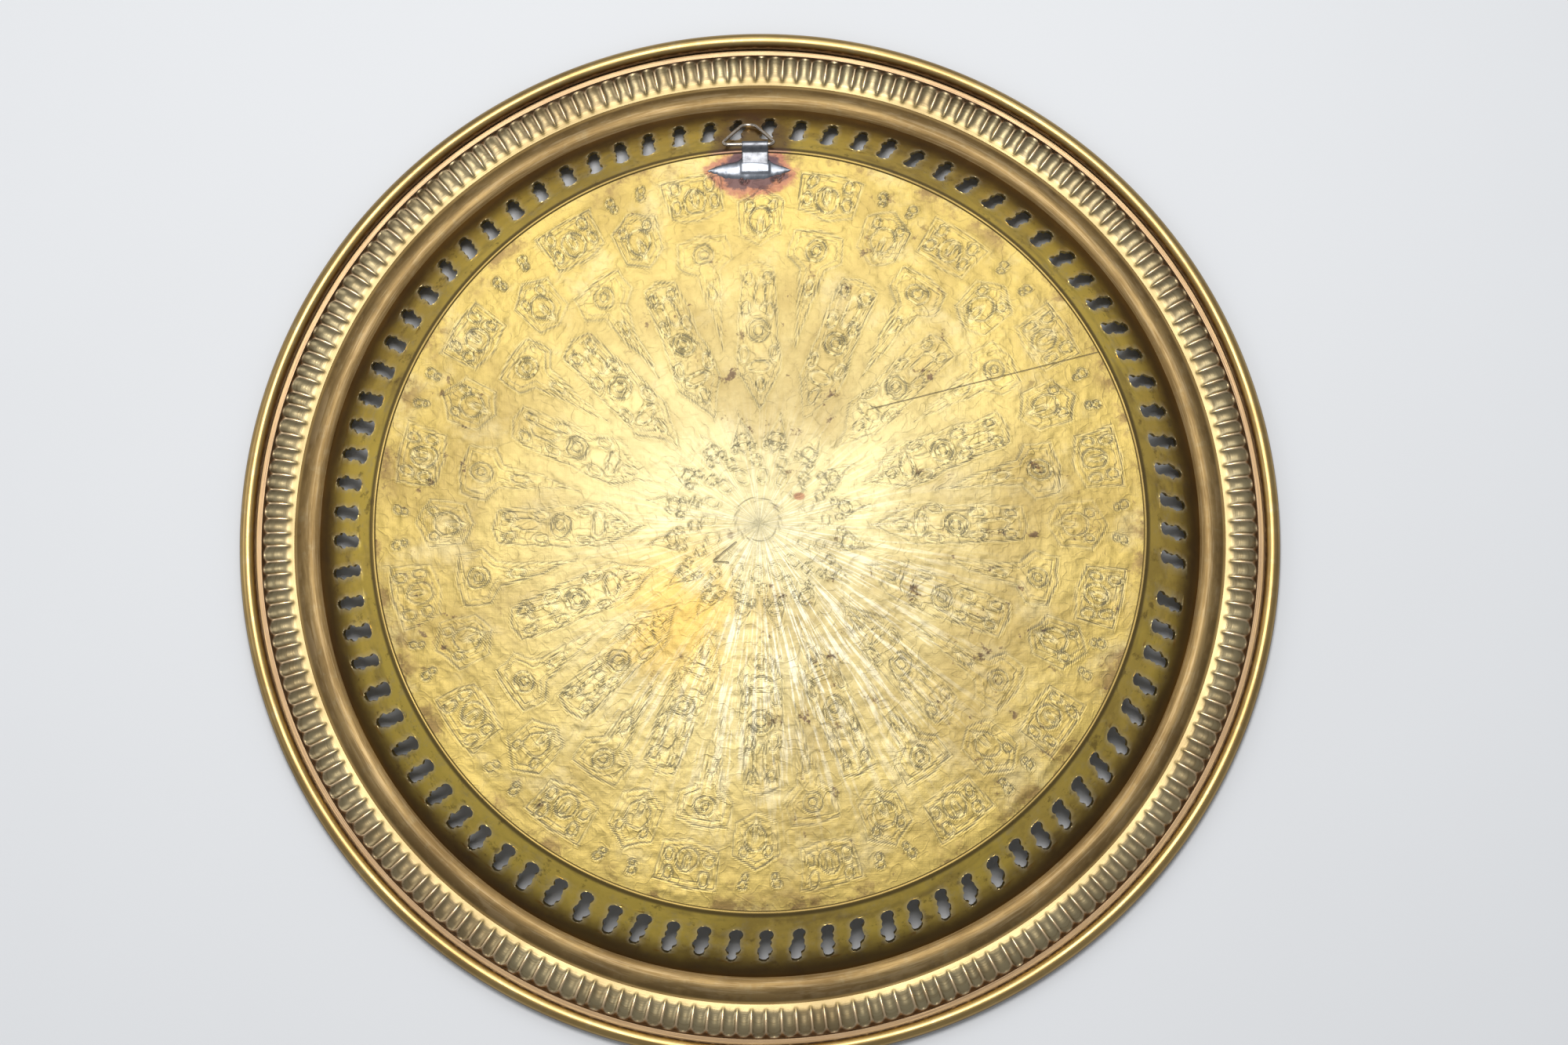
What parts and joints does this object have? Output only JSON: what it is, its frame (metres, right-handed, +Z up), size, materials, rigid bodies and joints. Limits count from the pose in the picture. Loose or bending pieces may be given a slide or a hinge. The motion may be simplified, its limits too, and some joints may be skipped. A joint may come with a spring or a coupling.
{
  "type": "round brass tray with pierced gallery and wall hanger",
  "caption": "Round sheet brass tray lying face down: flat disc, pierced sloping gallery, fluted rim, wired edge, and a small triangular hanging ring in a soldered strap on its back.",
  "frame": {"origin": "on the surface that the tray lies on face down, below the centre of its disc", "axes": "+Z up out of the tray's back, +Y from the centre towards the hanger, +X to the right seen from the back with the hanger at the top"},
  "size_m": [0.3048, 0.3048, 0.0208],
  "materials": {
    "aged_brass": "aged and lightly polished, brown in the recesses",
    "iron_wire": "plain drawn wire",
    "tinned_strip": "tinned, dulled",
    "ring_wire": "plated wire, worn brown",
    "solder": "soft solder, wiped smooth"
  },
  "bodies": {
    "tray": {"tray_sheet": "aged_brass", "rim_wire": "iron_wire", "hanger_strap": "tinned_strip", "solder_pad": "solder"},
    "ring": {"hanger_ring": "ring_wire"}
  },
  "joints": [
    {"name": "ring_swing", "type": "hinge", "parent": "tray", "child": "ring", "pos_m": [0, 0.1129, 0.01981], "axis": [1, 0, 0], "range_deg": [0, 217]}
  ]
}
